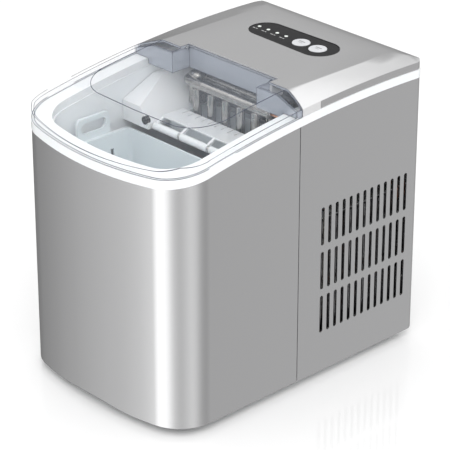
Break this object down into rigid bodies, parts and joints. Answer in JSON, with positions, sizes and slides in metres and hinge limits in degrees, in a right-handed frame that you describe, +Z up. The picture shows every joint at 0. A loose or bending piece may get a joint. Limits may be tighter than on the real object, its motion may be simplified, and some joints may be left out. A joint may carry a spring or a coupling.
{
  "type": "countertop ice maker",
  "caption": "Free-standing countertop ice maker: silver shell, clear hinged lid over a lift-out basket, tipping water tray, sweeping comb, button panel and vented machine space.",
  "frame": {"origin": "centre of the footprint, on the surface that the feet stand on", "axes": "+X to the object's right as its user stands at the lid end, +Y from the lid end to the rear, +Z up"},
  "size_m": [0.248, 0.36, 0.328],
  "materials": {
    "silver_paint": "fine metallic silver, satin clear coat",
    "white_plastic": "glossy moulded white",
    "clear_lid": "clear moulded plastic",
    "black_panel": "gloss black",
    "button_white": "satin white",
    "led_clear": "clear",
    "soft_rubber": "matt black",
    "hose_clear": "milky silicone",
    "screw_steel": "bright zinc",
    "pan_steel": "galvanised",
    "compressor_paint": "semi-gloss black enamel",
    "nickel": "plated",
    "copper": "drawn tube",
    "fin_aluminium": "mill finish",
    "dark_plastic": "moulded",
    "grey_plastic": "moulded",
    "foam": "closed-cell foam",
    "circuit_board": "solder mask"
  },
  "bodies": {
    "cabinet": {"front_shell": "silver_paint", "rear_shell": "silver_paint", "top_cover": "silver_paint", "upper_frame": "white_plastic", "tub": "white_plastic", "left_housing": "white_plastic", "right_housing": "white_plastic", "control_fascia": "black_panel", "ice_sensors": "black_panel", "led_lenses": "led_clear", "rubber_feet": "soft_rubber", "compressor_bushes": "soft_rubber", "cord_gland": "soft_rubber", "water_hose": "hose_clear", "shovel_shaft": "screw_steel", "back_screws": "screw_steel", "cover_screws": "screw_steel", "foot_screws": "screw_steel", "compressor_bolts": "screw_steel", "level_sensor": "screw_steel", "base_pan": "pan_steel", "compressor_plate": "pan_steel", "condenser_frame": "pan_steel", "compressor": "compressor_paint", "evaporator_tube": "nickel", "evaporator_fingers": "nickel", "condenser_tube": "copper", "suction_pipe": "copper", "discharge_pipe": "copper", "capillary_tube": "copper", "filter_drier": "copper", "hot_gas_valve": "copper", "condenser_fins": "fin_aluminium", "evaporator_hood": "dark_plastic", "fan_shroud": "dark_plastic", "fan_motor": "dark_plastic", "terminal_cover": "dark_plastic", "water_pump": "dark_plastic", "pump_strainer": "dark_plastic", "tray_motor": "dark_plastic", "board_carrier": "dark_plastic", "drain_spout": "grey_plastic", "tub_foam": "foam", "display_board": "circuit_board", "main_board": "circuit_board"},
    "lid": {"lid": "clear_lid", "hinge_pins": "screw_steel"},
    "basket": {"ice_basket": "white_plastic"},
    "tray": {"water_tray": "white_plastic"},
    "shovel": {"ice_shovel": "white_plastic"},
    "fan": {"fan_blade": "dark_plastic"},
    "power_button": {"power_button": "button_white"},
    "select_button": {"select_button": "button_white"},
    "drain_cap": {"drain_cap": "grey_plastic"}
  },
  "joints": [
    {"name": "lid_hinge", "type": "hinge", "parent": "cabinet", "child": "lid", "pos_m": [0, 0.0165, 0.3245], "axis": [-1, 0, 0], "range_deg": [0, 95]},
    {"name": "basket_lift", "type": "slide", "parent": "cabinet", "child": "basket", "axis": [0, 0, 1], "range_m": [0, 0.034]},
    {"name": "tray_tilt", "type": "hinge", "parent": "cabinet", "child": "tray", "pos_m": [0, 0.046, 0.258], "axis": [1, 0, 0], "range_deg": [0, 40]},
    {"name": "shovel_swing", "type": "hinge", "parent": "cabinet", "child": "shovel", "pos_m": [0, -0.034, 0.2525], "axis": [1, 0, 0], "range_deg": [0, 80]},
    {"name": "fan_spin", "type": "hinge", "parent": "cabinet", "child": "fan", "pos_m": [0.068, 0.092, 0.104], "axis": [1, 0, 0], "continuous": true},
    {"name": "power_press", "type": "slide", "parent": "cabinet", "child": "power_button", "axis": [0, 0, -1], "range_m": [0, 0.001], "stiffness_N_per_m": 600, "springref_m": -0.0005},
    {"name": "select_press", "type": "slide", "parent": "cabinet", "child": "select_button", "axis": [0, 0, -1], "range_m": [0, 0.001], "stiffness_N_per_m": 600, "springref_m": -0.0005},
    {"name": "drain_turn", "type": "hinge", "parent": "cabinet", "child": "drain_cap", "pos_m": [-0.118, -0.07, 0.044], "axis": [1, 0, 0], "range_deg": [0, 90]}
  ],
  "couplings": [
    {"joint": "shovel_swing", "follows": "tray_tilt", "ratio": 2}
  ]
}
